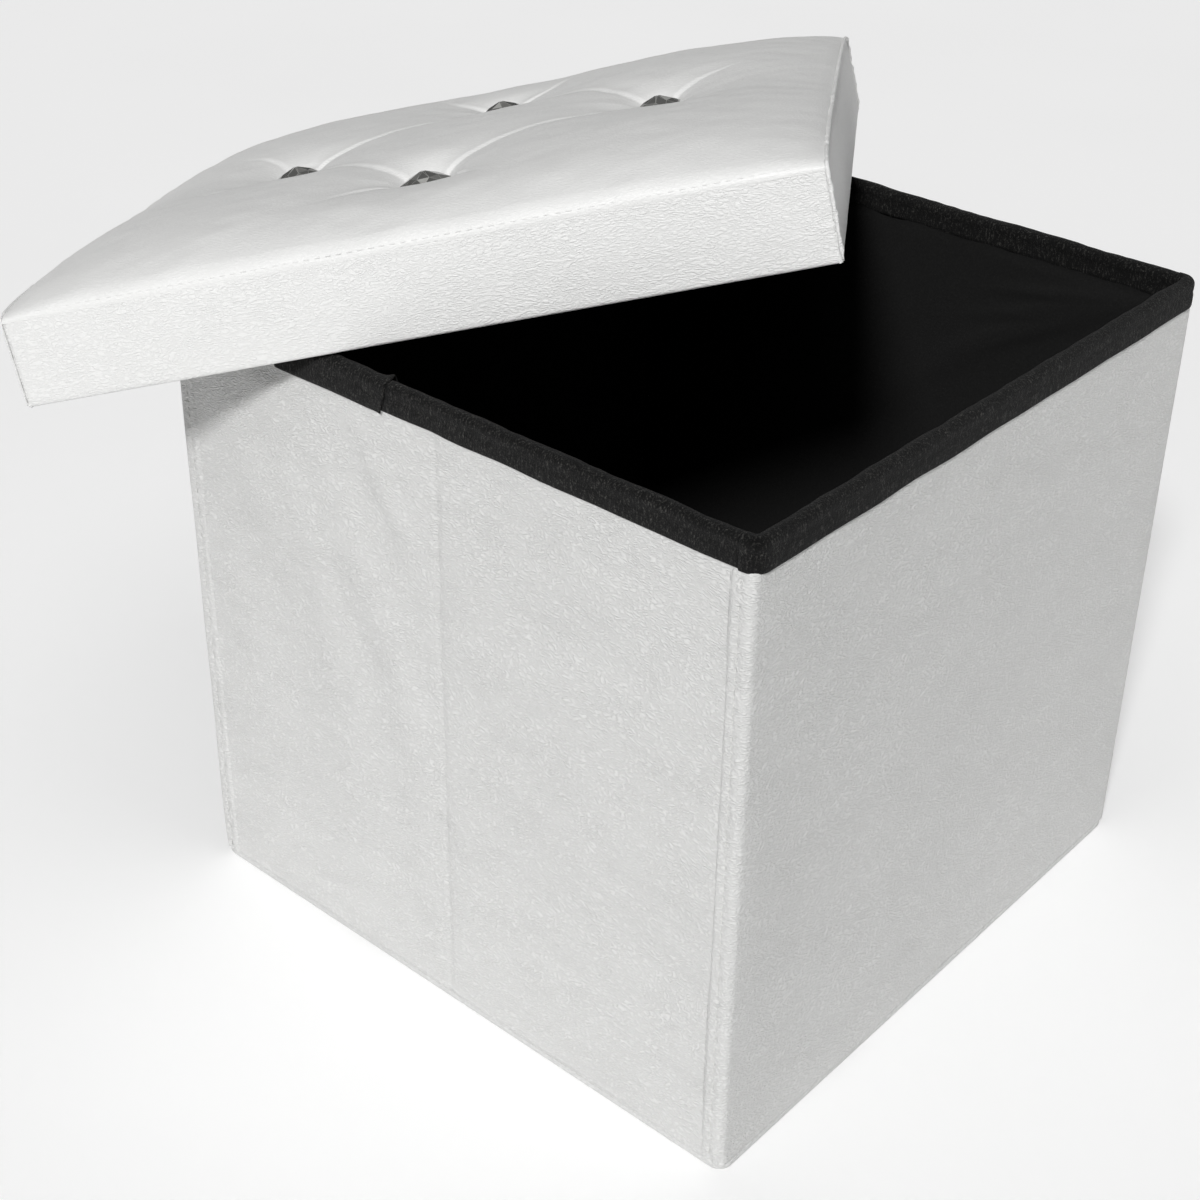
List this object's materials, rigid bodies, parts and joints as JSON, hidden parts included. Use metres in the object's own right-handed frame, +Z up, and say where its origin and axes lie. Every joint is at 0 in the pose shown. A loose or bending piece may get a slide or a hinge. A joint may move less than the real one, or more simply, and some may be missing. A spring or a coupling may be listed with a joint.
{
  "type": "ottoman with storage",
  "caption": "Square folding storage ottoman with a tufted lift-off lid lying askew on an open fabric-lined box.",
  "frame": {"origin": "centre of the box's underside, on the floor", "axes": "+Z up, +Y from the front wall to the back wall, both whole; the side walls at -X and +X have the middle fold"},
  "size_m": [0.5289, 0.5792, 0.4429],
  "materials": {
    "white_leather": "white imitation leather with a fine embossed grain, satin",
    "black_lining": "black non-woven lining, matt",
    "black_binding": "black woven binding tape, matt",
    "core_board": "grey board, raw",
    "foam": "upholstery foam and wadding",
    "crystal": "faceted clear crystal with a mirrored back",
    "button_metal": "polished nickel"
  },
  "bodies": {
    "base_and_front_wall": {"base_cover": "black_lining", "base_board": "core_board", "base_lining": "black_lining", "front_core": "core_board", "front_leather": "white_leather", "front_lining": "black_lining", "front_binding": "black_binding"},
    "left_front_panel": {"left_front_core": "core_board", "left_front_leather": "white_leather", "left_front_lining": "black_lining", "left_front_binding": "black_binding"},
    "left_back_panel": {"left_back_core": "core_board", "left_back_leather": "white_leather", "left_back_lining": "black_lining", "left_back_binding": "black_binding"},
    "back_wall": {"back_core": "core_board", "back_leather": "white_leather", "back_lining": "black_lining", "back_binding": "black_binding"},
    "right_front_panel": {"right_front_core": "core_board", "right_front_leather": "white_leather", "right_front_lining": "black_lining", "right_front_binding": "black_binding"},
    "right_back_panel": {"right_back_core": "core_board", "right_back_leather": "white_leather", "right_back_lining": "black_lining", "right_back_binding": "black_binding"},
    "lid": {"lid_leather_front": "white_leather", "lid_leather_right": "white_leather", "lid_leather_back": "white_leather", "lid_leather_left": "white_leather", "lid_skirt_board_front": "core_board", "lid_skirt_board_right": "core_board", "lid_skirt_board_back": "core_board", "lid_skirt_board_left": "core_board", "lid_board": "core_board", "lid_lining": "black_lining", "lid_top_leather": "white_leather", "lid_foam": "foam", "crystal_front": "crystal", "crystal_right": "crystal", "crystal_back": "crystal", "crystal_left": "crystal", "button_cup_front": "button_metal", "button_cup_right": "button_metal", "button_cup_back": "button_metal", "button_cup_left": "button_metal", "button_washer_front": "button_metal", "button_washer_right": "button_metal", "button_washer_back": "button_metal", "button_washer_left": "button_metal"}
  },
  "joints": [
    {"name": "wall_fold", "type": "hinge", "parent": "base_and_front_wall", "child": "left_front_panel", "pos_m": [-0.1728, -0.1728, 0.17], "axis": [0, 0, -1], "range_deg": [0, 90]},
    {"name": "left_middle_fold", "type": "hinge", "parent": "left_front_panel", "child": "left_back_panel", "pos_m": [-0.1805, 0, 0.17], "axis": [0, 0, 1], "range_deg": [0, 180]},
    {"name": "back_left_fold", "type": "hinge", "parent": "left_back_panel", "child": "back_wall", "pos_m": [-0.1728, 0.1728, 0.17], "axis": [0, 0, -1], "range_deg": [0, 90]},
    {"name": "front_right_fold", "type": "hinge", "parent": "base_and_front_wall", "child": "right_front_panel", "pos_m": [0.1728, -0.1728, 0.17], "axis": [0, 0, 1], "range_deg": [0, 90]},
    {"name": "right_middle_fold", "type": "hinge", "parent": "right_front_panel", "child": "right_back_panel", "pos_m": [0.1805, 0, 0.17], "axis": [0, 0, -1], "range_deg": [0, 180]},
    {"name": "lid_lift", "type": "slide", "parent": "base_and_front_wall", "child": "lid", "axis": [0, 0, 1], "range_m": [0, 0.2]}
  ],
  "couplings": [
    {"joint": "left_middle_fold", "follows": "wall_fold", "ratio": 2},
    {"joint": "back_left_fold", "follows": "wall_fold", "ratio": 1},
    {"joint": "front_right_fold", "follows": "wall_fold", "ratio": 1},
    {"joint": "right_middle_fold", "follows": "wall_fold", "ratio": 2}
  ]
}
